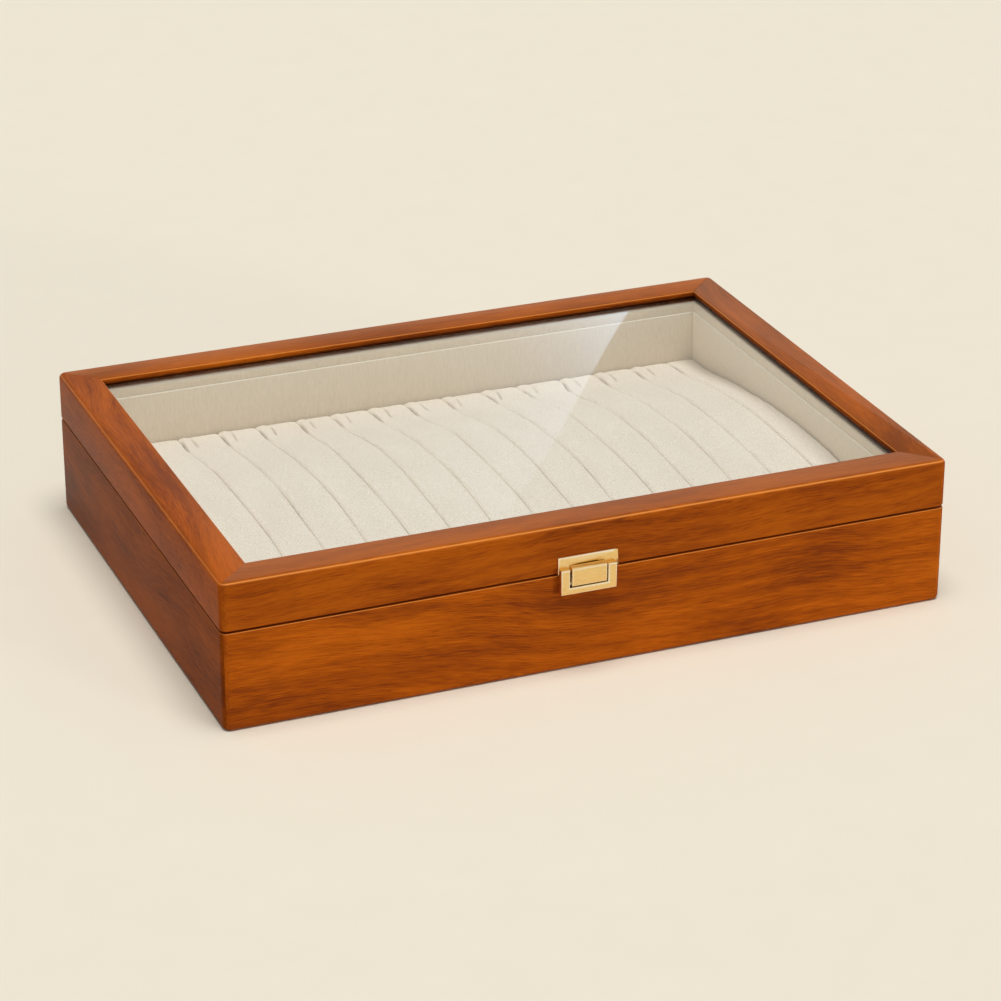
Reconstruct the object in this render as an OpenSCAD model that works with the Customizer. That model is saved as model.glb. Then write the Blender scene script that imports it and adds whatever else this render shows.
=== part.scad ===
// Ring display box: a wooden case with a glazed, hinged lid, sixteen padded
// ring rolls on a raised board, and a push-button clasp at the front.
//
// Millimetres. X runs along the width, Y from the front (-) to the back (+),
// Z up from the table. The origin is the centre of the wooden footprint.

/* [Case] */
// Outside width of the case
box_w = 350; // [320:1:380]
// Outside depth of the case
box_d = 256; // [230:1:290]
// Height of the base walls
base_h = 47.2; // [46:0.2:56]
// Height of the lid rails
lid_h = 23.7; // [20:0.1:30]
// Thickness of the base walls
wall_t = 13; // [12:0.5:15]
// Gap between the base and the closed lid
seam_gap = 0.3; // [0.2:0.05:0.5]
// Radius of the four upright corners
corner_r = 3.5; // [2:0.5:6]
// Radius of the edges around the top and the bottom
edge_r = 2.4; // [1:0.2:4]

/* [Bottom] */
// Thickness of the felt under the case
felt_t = 1; // [0.5:0.5:2]
// Thickness of the bottom panel
panel_t = 4; // [3:0.5:6]
// How far the bottom panel reaches under the walls
panel_lap = 6; // [4:0.5:8]

/* [Lid] */
// Width of the frame that shows around the glass
rail_face_w = 17.5; // [16:0.5:22]
// Thickness of the lip over the edge of the glass
lip_t = 3; // [2:0.5:4]
// Thickness of the glass
glass_t = 3; // [2:0.5:4]
// Play around the edge of the glass
glass_play = 0.5; // [0.3:0.1:0.9]
// Height of the covered strip that carries the glass
strip_h = 4.2; // [3:0.2:6]
// Gap from the lid rails to the liner that stands up inside them
lid_play = 1; // [0.8:0.1:1.5]

/* [Liner] */
// Thickness of the covered liner boards
liner_t = 4.5; // [3.5:0.5:6]
// Gap from the liner's top to the strip in the closed lid
liner_top_gap = 0.3; // [0.2:0.1:0.8]

/* [Ring insert] */
// Width of a bearer under the insert board
bearer_w = 12; // [8:1:16]
// Height of a bearer
bearer_h = 9; // [6:0.5:11]
// Distance from the liner to a bearer at the side or end
bearer_inset = 8; // [4:1:20]
// Thickness of the insert board
board_t = 3; // [2:0.5:4]
// Play around the insert board and the ends of the rolls
insert_play = 0.5; // [0.3:0.1:1]
// Height of a roll above the board, at its crest
roll_h = 29.3; // [22:0.1:32]
// Radius of the front-to-back crown of the rolls
crown_r = 450; // [400:1:700]
// Rise of a roll across its own width
roll_bulge = 1.2; // [0.6:0.1:2]
// Gap between neighbouring rolls
roll_gap = 0.4; // [0.3:0.1:0.8]
// Width of the narrower roll at each side
edge_roll_w = 14.9; // [12:0.1:20]

/* [Hinges] */
// Distance from each end of the case to the middle of its hinge
hinge_inset = 65; // [40:5:120]
// Length of a hinge
hinge_l = 30; // [24:1:40]
// Reach of a leaf into the wall
leaf_reach = 10; // [8:0.5:11]
// Thickness of a leaf
leaf_t = 1.2; // [1:0.1:1.5]
// Distance of the hinge axis behind the case
axis_out = 1; // [0.8:0.1:1.5]
// Outer radius of the knuckles
knuckle_r = 2.2; // [2:0.1:2.6]
// Radius of the hinge pin
hinge_pin_r = 1; // [0.8:0.1:1.2]
// Gap between neighbouring knuckles
knuckle_gap = 0.2; // [0.1:0.05:0.3]
// Angle at which the stops in the knuckles meet
stop_angle = 101; // [95:1:110]
// Radius of a hinge screw
screw_r = 1.1; // [0.9:0.1:1.3]
// Length of a hinge screw
screw_l = 9; // [6:0.5:12]

/* [Clasp] */
// Distance of the clasp from the middle of the front, to the left
clasp_left = 5; // [0:0.5:20]
// Width of the lid plate
plate_w = 28.5; // [26:0.5:34]
// Height of the lid plate
plate_h = 8.4; // [7:0.1:10]
// Thickness of the lid plate
plate_t = 1.2; // [1:0.1:1.3]
// Width of the clasp housing
housing_w = 27.5; // [26:0.5:32]
// Depth of the clasp housing, from the wood to its face
housing_d = 5; // [4.8:0.1:6]
// How far the housing reaches below the seam
housing_drop = 8.4; // [8.2:0.1:10]
// How far the housing's arms rise above the seam
arm_rise = 3.8; // [3.4:0.1:4.4]
// Thickness of the housing's back plate
back_t = 1; // [0.8:0.1:1.2]
// Width of the push button
button_w = 17.7; // [16:0.1:20]
// How far the button stands proud of the housing
button_proud = 0.2; // [0:0.1:0.6]
// Gap beside and below the button
button_gap = 0.5; // [0.4:0.05:0.8]
// Height of the bar below the button
bar_h = 3.3; // [2.8:0.1:3.5]
// Radius of the button's pivot pin
clasp_pin_r = 0.7; // [0.6:0.05:0.8]
// Thickness of the spring strip
spring_t = 0.25; // [0.2:0.05:0.35]
// Radius of a clasp screw
clasp_screw_r = 0.6; // [0.5:0.05:0.7]

/* [Hidden] */
$fn = 64;

// Colours
wood = "#A0480F";
liner_cloth = "#C9BDA6";
roll_cloth = "#E6DFD1";
felt = "#4A4038";
board = "#B99A6B";
pale_glass = [0.85, 0.9, 0.9, 0.35];
brass = "#D9B25F";
steel = "#9A9C9E";

// Levels, from the table up
panel_z = felt_t;
bearer_z = panel_z + panel_t;
board_z = bearer_z + bearer_h;
roll_z = board_z + board_t;
crest_z = roll_z + roll_h;
lid_z = base_h + seam_gap;
case_h = lid_z + lid_h;
glass_z = case_h - lip_t - glass_t;
strip_z = glass_z - strip_h;
liner_top_z = strip_z - liner_top_gap;

// Plan sizes, each measured inwards from the outside of the case
lid_wall_t = wall_t - lid_play;
liner_in = wall_t + liner_t;
inner_w = box_w - 2 * liner_in;
inner_d = box_d - 2 * liner_in;
mitre_in = 40;
mitre_out = 2;

// Ring rolls: fourteen equal ones, and a narrower one at each side
ROLLS = 16;
roll_pitch = (inner_w - 2 * edge_roll_w) / (ROLLS - 2);
roll_l = inner_d - 2 * insert_play;
roll_side_x = inner_w / 2 - insert_play + roll_gap / 2;
crown_half_angle = asin(roll_l / 2 / crown_r) + 1;

// Hinges
hinge_x = box_w / 2 - hinge_inset;
hinge_y = box_d / 2 + axis_out;
hinge_z = base_h + seam_gap / 2;
knuckle_l = hinge_l / 3;
hinge_bore_play = 0.05;
knuckle_play = 0.3;
mortise_play = 0.1;
stop_l = 1.5;
base_stop = [190, 300];
lid_stop = [base_stop[1] - 360 + stop_angle, 170];
screw_head_r = screw_r + 0.9;
screw_x = hinge_l / 2 - 6;
screw_y = box_d / 2 - leaf_reach / 2 - 0.5;
slot_w = 0.5;
slot_t = 0.4;

// Clasp, measured from the seam and the front of the case; y is negative outwards
clasp_clear = 0.3;
plate_z = 0.5;
spur_r = 0.8;
spur_l = 6;
spur_x = 10;
spur_z = 6.5;
button_bottom_gap = button_gap + 0.1;
bar_z = bar_h - housing_drop;
button_z = bar_z + button_bottom_gap;
button_t = 2;
button_face_y = -housing_d - button_proud;
button_back_y = button_face_y + button_t;
button_top_z = arm_rise + 0.1;
hood_rise = 0.9;
hood_y = -plate_t - 2 * clasp_clear;
hood_l = 2.4;
catch_w = 8;
catch_z = [2.8, 4.0];
catch_slot_play = 0.5;
pivot_y = button_back_y + 0.2;
pivot_z = -0.4;
boss_r = -pivot_y - plate_t - clasp_clear;
clasp_bore_play = 0.05;
pin_seat_l = 3;
clasp_pin_l = button_w + 2 * button_gap + 2 * pin_seat_l;
spring_w = 5;
spring_play = 0.05;
clasp_screw_x = 6;
clasp_screw_z = bar_z + clasp_screw_r + 0.6;
clasp_screw_l = 7;
clasp_head_r = clasp_screw_r + 0.45;
clasp_head_t = 0.6;

// Turns a profile in (y, z) into a solid that runs along X from x0 to x1
module along_x(x0, x1) {
    translate([x0, 0, 0]) rotate([90, 0, 90]) linear_extrude(height = x1 - x0) children();
}

// Turns a profile in (x, z) into a solid that runs along Y from y0 to y1
module along_y(y0, y1) {
    translate([0, y1, 0]) rotate([90, 0, 0]) linear_extrude(height = y1 - y0) children();
}

// A box from one corner to the opposite one
module block(low, high) {
    translate(low) cube(high - low);
}

// A block centred in plan on the origin
module slab(w, d, z0, z1) {
    block([-w / 2, -d / 2, z0], [w / 2, d / 2, z1]);
}

// A rectangle centred on x = 0 whose lower and upper corners have their own radii, or are square at 0
module rounded_panel(w, y0, y1, low_r, high_r) {
    inset = max(low_r, high_r);
    translate([-w / 2, y0 + low_r]) square([w, y1 - y0 - low_r - high_r]);
    translate([-w / 2 + inset, y0]) square([w - 2 * inset, y1 - y0]);
    for (side = [-1, 1]) {
        if (low_r > 0) translate([side * (w / 2 - low_r), y0 + low_r]) circle(r = low_r);
        if (high_r > 0) translate([side * (w / 2 - high_r), y1 - high_r]) circle(r = high_r);
    }
}

// The outer form of the base or the lid, before it is cut into four rails
module case_form(z0, z1, low_r, high_r) {
    intersection() {
        translate([0, 0, z0]) linear_extrude(height = z1 - z0)
            rounded_panel(box_w, -box_d / 2, box_d / 2, corner_r, corner_r);
        along_x(-box_w, box_w) rounded_panel(box_d, z0, z1, low_r, high_r);
        along_y(-box_d, box_d) rounded_panel(box_w, z0, z1, low_r, high_r);
    }
}

// The plan of one mitred side: side 0 is the front, 1 the back, 2 the left and 3 the right
module side_plan(side) {
    turn = side % 2 == 0 ? 1 : -1;
    long = side < 2 ? box_w / 2 : box_d / 2;
    out = side < 2 ? box_d / 2 : box_w / 2;
    points = [
        [-long - mitre_out, -turn * (out + mitre_out)],
        [long + mitre_out, -turn * (out + mitre_out)],
        [long - mitre_in, -turn * (out - mitre_in)],
        [-long + mitre_in, -turn * (out - mitre_in)]
    ];
    polygon(side < 2 ? points : [for (p = points) [p[1], p[0]]]);
}

// Keeps one mitred side of a frame
module one_side(side) {
    intersection() {
        children();
        translate([0, 0, -1]) linear_extrude(height = case_h + 2) side_plan(side);
    }
}

// A rectangular ring between two distances from the outside of the case
module ring(outer, inner, z0, z1) {
    difference() {
        slab(box_w - 2 * outer, box_d - 2 * outer, z0, z1);
        slab(box_w - 2 * inner, box_d - 2 * inner, z0 - 1, z1 + 1);
    }
}

module base_frame() {
    difference() {
        case_form(0, base_h, edge_r, 0);
        slab(box_w - 2 * wall_t, box_d - 2 * wall_t, -1, base_h + 1);
        slab(box_w - 2 * (wall_t - panel_lap), box_d - 2 * (wall_t - panel_lap), -1, bearer_z);
    }
}

module lid_frame() {
    difference() {
        case_form(lid_z, case_h, 0, edge_r);
        slab(box_w - 2 * rail_face_w, box_d - 2 * rail_face_w, lid_z - 1, case_h + 1);
        slab(box_w - 2 * lid_wall_t, box_d - 2 * lid_wall_t, lid_z - 1, case_h - lip_t);
    }
}

// Places a thing at both hinges
module at_hinges() {
    for (side = [-1, 1]) translate([side * hinge_x, 0, 0]) children();
}

// Places a thing at both screws of one hinge leaf
module at_leaf_screws() {
    for (side = [-1, 1]) translate([side * screw_x, screw_y, 0]) children();
}

// What a hinge needs cut out of the wood: the leaf's mortise, room for the knuckles, and pilot holes
module hinge_cuts(up) {
    half = hinge_l / 2 + mortise_play;
    floor_z = up ? lid_z + leaf_t : base_h - leaf_t;
    block(
        [-half, box_d / 2 - leaf_reach - mortise_play, min(floor_z, hinge_z)],
        [half, box_d / 2 + 1, max(floor_z, hinge_z)]
    );
    translate([0, hinge_y, hinge_z]) along_x(-half, half) circle(r = knuckle_r + knuckle_play);
    at_leaf_screws() translate([0, 0, up ? lid_z : base_h - screw_l])
        cylinder(r = screw_r, h = screw_l);
}

module base_front_wall() {
    color(wood) difference() {
        one_side(0) base_frame();
        at_clasp() at_clasp_screws() along_y(0, clasp_screw_l - back_t) circle(r = clasp_screw_r);
    }
}

module base_back_wall() {
    color(wood) difference() {
        one_side(1) base_frame();
        at_hinges() hinge_cuts(false);
    }
}

module base_left_wall() {
    color(wood) one_side(2) base_frame();
}

module base_right_wall() {
    color(wood) one_side(3) base_frame();
}

module base_bottom_panel() {
    lap = wall_t - panel_lap;
    color(board) slab(box_w - 2 * lap, box_d - 2 * lap, panel_z, bearer_z);
}

module base_felt() {
    lap = wall_t - panel_lap;
    color(felt) slab(box_w - 2 * lap, box_d - 2 * lap, 0, panel_z);
}

// One mitred board of the fabric-covered liner, glued inside the walls
module liner(side) {
    color(liner_cloth) one_side(side) ring(wall_t, liner_in, bearer_z, liner_top_z);
}

// Bearer under the insert board: place is -1 at the left, 0 in the middle and 1 at the right
module tray_bearer(place) {
    length = inner_d - 2 * bearer_inset;
    x = place * (inner_w / 2 - bearer_inset - bearer_w / 2);
    color(board) translate([x, 0, 0]) slab(bearer_w, length, bearer_z, board_z);
}

module tray_board() {
    color(board)
        slab(inner_w - 2 * insert_play, inner_d - 2 * insert_play, board_z, roll_z);
}

// X of the seam between roll i and roll i + 1, counted from the left
function seam_x(i) = i < 0 ? -roll_side_x
    : i > ROLLS - 2 ? roll_side_x
    : -inner_w / 2 + edge_roll_w + i * roll_pitch;

// Radius of an arc that rises by h over a chord c
function arc_r(c, h) = (c * c / 4 + h * h) / (2 * h);

// One padded roll: crowned from front to back and bulged across, with a flat underside.
// Its profile reaches just below the underside, which the last cut then makes flat.
module ring_roll(i) {
    x0 = seam_x(i - 1) + roll_gap / 2;
    x1 = seam_x(i) - roll_gap / 2;
    bulge_r = arc_r(x1 - x0, roll_bulge);
    color(roll_cloth) intersection() {
        translate([0, 0, crest_z - crown_r]) rotate([90, 0, 90])
            rotate([0, 0, 90 - crown_half_angle])
            rotate_extrude(angle = 2 * crown_half_angle, $fn = 360)
            intersection() {
                translate([crown_r - roll_h - 1, x0]) square([roll_h + 2, x1 - x0]);
                translate([crown_r - bulge_r, (x0 + x1) / 2]) circle(r = bulge_r, $fn = 360);
            }
        block([x0 - 1, -roll_l / 2, roll_z], [x1 + 1, roll_l / 2, crest_z + 1]);
    }
}

module lid_front_rail() {
    color(wood) difference() {
        one_side(0) lid_frame();
        at_clasp() at_spurs() along_y(-1, spur_l) circle(r = spur_r);
    }
}

module lid_back_rail() {
    color(wood) difference() {
        one_side(1) lid_frame();
        at_hinges() hinge_cuts(true);
    }
}

module lid_left_rail() {
    color(wood) one_side(2) lid_frame();
}

module lid_right_rail() {
    color(wood) one_side(3) lid_frame();
}

module glass_pane() {
    edge_in = lid_wall_t + glass_play;
    color(pale_glass) slab(box_w - 2 * edge_in, box_d - 2 * edge_in, glass_z, glass_z + glass_t);
}

// One mitred strip, covered in the liner's fabric, that carries the edge of the glass
module lid_strip(side) {
    color(liner_cloth) one_side(side) ring(lid_wall_t, rail_face_w, strip_z, glass_z);
}

// Moves a thing to one hinge's axis: side is -1 at the left and 1 at the right
module at_hinge_axis(side) {
    translate([side * hinge_x, hinge_y, hinge_z]) children();
}

// A length of knuckle along the hinge axis
module knuckle(x0, x1, bore_r) {
    along_x(x0, x1) difference() {
        circle(r = knuckle_r);
        circle(r = bore_r);
    }
}

// Part of a knuckle's wall between two angles, which stops the lid when it is open
module stop_dog(x0, x1, bore_r, angles) {
    translate([x0, 0, 0]) rotate([90, 0, 90]) rotate([0, 0, angles[0]])
        rotate_extrude(angle = angles[1] - angles[0])
        translate([bore_r, 0]) square([knuckle_r - bore_r, x1 - x0]);
}

// Flat part of a leaf, with its screw holes, on the lower or the upper side of the axis
module leaf_plate(up) {
    z0 = up ? seam_gap / 2 : -seam_gap / 2 - leaf_t;
    face_z = up ? seam_gap / 2 : -seam_gap / 2;
    difference() {
        block([-hinge_l / 2, -axis_out - leaf_reach, z0], [hinge_l / 2, 0, z0 + leaf_t]);
        translate([0, -hinge_y, 0]) at_leaf_screws() {
            translate([0, 0, z0 - 1]) cylinder(r = screw_r, h = leaf_t + 2);
            translate([0, 0, up ? face_z : face_z - leaf_t])
                cylinder(r1 = up ? screw_head_r : screw_r, r2 = up ? screw_r : screw_head_r, h = leaf_t);
        }
    }
}

// Base leaf: the two outer knuckles, and half of the stop
module base_leaf(side) {
    inner = knuckle_l / 2;
    outer = hinge_l / 2;
    far = inner + stop_l + knuckle_gap;
    color(brass) at_hinge_axis(side) {
        difference() {
            leaf_plate(false);
            along_x(-inner, far) circle(r = knuckle_r + knuckle_gap);
            along_x(-outer - 1, outer + 1) circle(r = hinge_pin_r);
        }
        knuckle(-outer, -inner, hinge_pin_r);
        knuckle(far, outer, hinge_pin_r);
        stop_dog(inner + knuckle_gap, far, hinge_pin_r, base_stop);
    }
}

// Lid leaf: the middle knuckle, and the other half of the stop
module lid_leaf(side) {
    inner = knuckle_l / 2;
    outer = hinge_l / 2;
    bore_r = hinge_pin_r + hinge_bore_play;
    color(brass) at_hinge_axis(side) {
        difference() {
            leaf_plate(true);
            along_x(-outer - 1, -inner + knuckle_gap) circle(r = knuckle_r + knuckle_gap);
            along_x(inner, outer + 1) circle(r = knuckle_r + knuckle_gap);
            along_x(-outer - 1, outer + 1) circle(r = bore_r);
        }
        knuckle(-inner + knuckle_gap, inner, bore_r);
        stop_dog(inner, inner + stop_l, bore_r, lid_stop);
    }
}

module hinge_pin(side) {
    color(brass) at_hinge_axis(side)
        along_x(-hinge_l / 2, hinge_l / 2) circle(r = hinge_pin_r);
}

// A slotted countersunk screw whose head faces up, with the face of its head at z = 0
module wood_screw() {
    difference() {
        union() {
            translate([0, 0, -leaf_t]) cylinder(r1 = screw_r, r2 = screw_head_r, h = leaf_t);
            translate([0, 0, -screw_l]) cylinder(r = screw_r, h = screw_l - leaf_t);
        }
        block([-screw_head_r - 1, -slot_w / 2, -slot_t], [screw_head_r + 1, slot_w / 2, 1]);
    }
}

module hinge_base_screws() {
    color(brass) at_hinges() at_leaf_screws() translate([0, 0, base_h]) wood_screw();
}

module hinge_lid_screws() {
    color(brass) at_hinges() at_leaf_screws() translate([0, 0, lid_z])
        rotate([180, 0, 0]) wood_screw();
}

// Moves a thing to the clasp's origin, on the seam at the front of the case
module at_clasp() {
    translate([-clasp_left, -box_d / 2, base_h]) children();
}

module at_clasp_screws() {
    for (side = [-1, 1]) translate([side * clasp_screw_x, 0, clasp_screw_z]) children();
}

module at_spurs() {
    for (side = [-1, 1]) translate([side * spur_x, 0, spur_z]) children();
}

// Lid plate: two spurs hold it in the rail, and a slot behind the button takes the catch
module clasp_lid_plate() {
    color(brass) at_clasp() {
        difference() {
            block([-plate_w / 2, -plate_t, plate_z], [plate_w / 2, 0, plate_z + plate_h]);
            block(
                [-catch_w / 2 - catch_slot_play, -plate_t - 1, catch_z[0] - catch_slot_play],
                [catch_w / 2 + catch_slot_play, 1, catch_z[1] + catch_slot_play]
            );
        }
        at_spurs() along_y(0, spur_l) circle(r = spur_r);
    }
}

// Housing: a U-shaped frame around the button, whose arms stand in front of the lid plate
module clasp_housing() {
    half = housing_w / 2;
    gap_x = button_w / 2 + button_gap;
    color(brass) at_clasp() difference() {
        block([-half, -housing_d, -housing_drop], [half, 0, arm_rise]);
        block([-gap_x, -housing_d - 1, bar_z], [gap_x, -back_t, arm_rise + 1]);
        block([-half - 1, -plate_t - clasp_clear, -0.1], [half + 1, 1, arm_rise + 1]);
        translate([0, pivot_y, pivot_z])
            along_x(-clasp_pin_l / 2, clasp_pin_l / 2) circle(r = clasp_pin_r);
        at_clasp_screws() along_y(-back_t - 1, 1) circle(r = clasp_screw_r);
    }
}

// Button: it rocks on its pin, and pressing the lower half draws the catch out of the lid plate
module clasp_button() {
    color(brass) at_clasp() {
        difference() {
            union() {
                along_x(-button_w / 2, button_w / 2) polygon([
                    [button_face_y, button_z],
                    [button_face_y, button_top_z],
                    [hood_y, button_top_z + hood_rise],
                    [hood_y, button_top_z + hood_rise - hood_l],
                    [button_back_y, button_top_z + hood_rise - 2 * hood_l],
                    [button_back_y, button_z]
                ]);
                translate([0, pivot_y, pivot_z])
                    along_x(-button_w / 2, button_w / 2) circle(r = boss_r);
            }
            translate([0, pivot_y, pivot_z])
                along_x(-button_w, button_w) circle(r = clasp_pin_r + clasp_bore_play);
        }
        block(
            [-catch_w / 2, hood_y, catch_z[0]],
            [catch_w / 2, -plate_t - clasp_clear, catch_z[1]]
        );
    }
}

module clasp_button_pin() {
    color(steel) at_clasp() translate([0, pivot_y, pivot_z])
        along_x(-clasp_pin_l / 2, clasp_pin_l / 2) circle(r = clasp_pin_r);
}

// Spring: a bent strip from the back plate to the lower half of the button
module clasp_spring() {
    tip_y = button_back_y + spring_play;
    foot_y = -back_t;
    bend_y = foot_y - 0.5;
    color(steel) at_clasp() along_x(-spring_w / 2, spring_w / 2) polygon([
        [foot_y, bar_z],
        [foot_y, bar_z + 2.7],
        [bend_y, bar_z + 3],
        [tip_y, bar_z + 1],
        [tip_y + spring_t, bar_z + 0.9],
        [bend_y + 0.1, bar_z + 3 - 1.6 * spring_t],
        [foot_y - spring_t, bar_z + 2.7 - spring_t],
        [foot_y - spring_t, bar_z]
    ]);
}

module clasp_screws() {
    color(steel) at_clasp() at_clasp_screws() {
        along_y(-back_t, clasp_screw_l - back_t) circle(r = clasp_screw_r);
        difference() {
            along_y(-back_t - clasp_head_t, -back_t) circle(r = clasp_head_r);
            block(
                [-clasp_head_r - 1, -back_t - 1, -slot_t / 2],
                [clasp_head_r + 1, -back_t - clasp_head_t / 2, slot_t / 2]
            );
        }
    }
}

base_front_wall();
base_back_wall();
base_left_wall();
base_right_wall();
base_bottom_panel();
base_felt();
liner(0);  // liner_front
liner(1);  // liner_back
liner(2);  // liner_left
liner(3);  // liner_right
tray_bearer(-1);  // tray_bearer_left
tray_bearer(0);  // tray_bearer_middle
tray_bearer(1);  // tray_bearer_right
tray_board();
ring_roll(0);  // ring_roll_01
ring_roll(1);  // ring_roll_02
ring_roll(2);  // ring_roll_03
ring_roll(3);  // ring_roll_04
ring_roll(4);  // ring_roll_05
ring_roll(5);  // ring_roll_06
ring_roll(6);  // ring_roll_07
ring_roll(7);  // ring_roll_08
ring_roll(8);  // ring_roll_09
ring_roll(9);  // ring_roll_10
ring_roll(10);  // ring_roll_11
ring_roll(11);  // ring_roll_12
ring_roll(12);  // ring_roll_13
ring_roll(13);  // ring_roll_14
ring_roll(14);  // ring_roll_15
ring_roll(15);  // ring_roll_16
lid_front_rail();
lid_back_rail();
lid_left_rail();
lid_right_rail();
glass_pane();
lid_strip(0);  // lid_strip_front
lid_strip(1);  // lid_strip_back
lid_strip(2);  // lid_strip_left
lid_strip(3);  // lid_strip_right
base_leaf(-1);  // hinge_left_base_leaf
base_leaf(1);  // hinge_right_base_leaf
lid_leaf(-1);  // hinge_left_lid_leaf
lid_leaf(1);  // hinge_right_lid_leaf
hinge_pin(-1);  // hinge_left_pin
hinge_pin(1);  // hinge_right_pin
hinge_base_screws();
hinge_lid_screws();
clasp_lid_plate();
clasp_housing();
clasp_button();
clasp_button_pin();
clasp_spring();
clasp_screws();
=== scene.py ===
"""Ring display box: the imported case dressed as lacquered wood, glass, cloth-covered boards,
padded ring rolls and satin brass. Lengths are metres unless a name or comment says mm."""

import math

import bmesh
import bpy
import numpy as np
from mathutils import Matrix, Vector, noise


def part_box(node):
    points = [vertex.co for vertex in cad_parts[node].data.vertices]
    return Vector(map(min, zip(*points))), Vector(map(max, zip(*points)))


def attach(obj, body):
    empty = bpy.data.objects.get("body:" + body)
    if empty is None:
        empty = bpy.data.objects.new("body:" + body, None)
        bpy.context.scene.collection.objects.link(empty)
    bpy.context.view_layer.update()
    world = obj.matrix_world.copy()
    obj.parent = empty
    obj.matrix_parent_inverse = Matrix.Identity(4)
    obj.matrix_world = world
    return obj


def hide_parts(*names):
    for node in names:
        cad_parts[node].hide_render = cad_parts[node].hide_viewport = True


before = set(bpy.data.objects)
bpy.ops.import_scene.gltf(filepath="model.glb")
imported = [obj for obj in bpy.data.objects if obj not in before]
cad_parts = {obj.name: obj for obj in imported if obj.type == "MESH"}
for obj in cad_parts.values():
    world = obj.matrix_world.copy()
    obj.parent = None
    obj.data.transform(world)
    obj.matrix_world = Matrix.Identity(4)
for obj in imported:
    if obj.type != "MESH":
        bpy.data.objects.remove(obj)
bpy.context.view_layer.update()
bpy.ops.object.select_all(action="DESELECT")

MM = 0.001
NEAR = 1e-6

# ---------------------------------------------------------------- sizes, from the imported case
HALF_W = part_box("base_right_wall")[1].x
HALF_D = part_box("base_back_wall")[1].y
BASE_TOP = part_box("base_front_wall")[1].z
LID_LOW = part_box("lid_front_rail")[0].z
LID_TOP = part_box("lid_front_rail")[1].z
WALL = HALF_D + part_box("base_front_wall")[1].y
RAIL_FACE = HALF_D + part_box("lid_front_rail")[1].y
LID_WALL = HALF_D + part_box("lid_strip_front")[0].y
LINER_IN = HALF_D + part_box("liner_front")[1].y
GLASS_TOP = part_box("glass_pane")[1].z
PANEL_EDGE = HALF_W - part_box("base_bottom_panel")[1].x
PANEL_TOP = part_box("base_bottom_panel")[1].z

# Each side of the case, by the direction that it faces
SIDES = {"front": Vector((0, -1, 0)), "back": Vector((0, 1, 0)),
         "left": Vector((-1, 0, 0)), "right": Vector((1, 0, 0))}


def to_linear(hex_colour):
    """An sRGB hex colour as the linear colour that a shader takes"""
    parts = [int(hex_colour[i:i + 2], 16) / 255 for i in (1, 3, 5)]
    return [c / 12.92 if c <= 0.04045 else ((c + 0.055) / 1.055) ** 2.4 for c in parts] + [1]


# ---------------------------------------------------------------- camera
# A long lens, a little to the left of the box and well above it
CAMERA_PLACE = Vector((-0.5612, -1.3972, 0.7133))
CAMERA_TARGET = Vector((0.013, 0.0184, 0.0165))
camera_data = bpy.data.cameras.new("camera")
camera_data.sensor_width = 36
camera_data.lens = 124.63
camera = bpy.data.objects.new("camera", camera_data)
bpy.context.scene.collection.objects.link(camera)
camera.location = CAMERA_PLACE
camera.rotation_mode = "QUATERNION"
camera.rotation_quaternion = (CAMERA_TARGET - CAMERA_PLACE).to_track_quat("-Z", "Y")
bpy.context.scene.camera = camera
bpy.context.scene.view_settings.view_transform = "Standard"


# ---------------------------------------------------------------- materials
def add(tree, kind, inputs=None, stops=(), **settings):
    """Adds one node. settings are its properties, inputs are the values or links of its
    sockets, and stops are a ramp's positions and colours. Some sockets go by number: 0, 6 and 7
    are a Mix node's share and two colours, 2 and 3 a Mapping node's turn and scale."""
    made = tree.nodes.new("ShaderNode" + kind)
    for key, value in settings.items():
        setattr(made, key, value)
    for key, value in (inputs or {}).items():
        if isinstance(value, bpy.types.NodeSocket):
            tree.links.new(value, made.inputs[key])
        else:
            made.inputs[key].default_value = value
    for number, (position, colour) in enumerate(stops):
        if number == len(made.color_ramp.elements):
            made.color_ramp.elements.new(1)
        made.color_ramp.elements[number].position = position
        made.color_ramp.elements[number].color = to_linear(colour)
    return made


def new_material(name):
    """An empty material, its node tree and its output node"""
    material = bpy.data.materials.new(name)
    material.use_nodes = True
    material.node_tree.nodes.clear()
    return material, material.node_tree, add(material.node_tree, "OutputMaterial")


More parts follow.
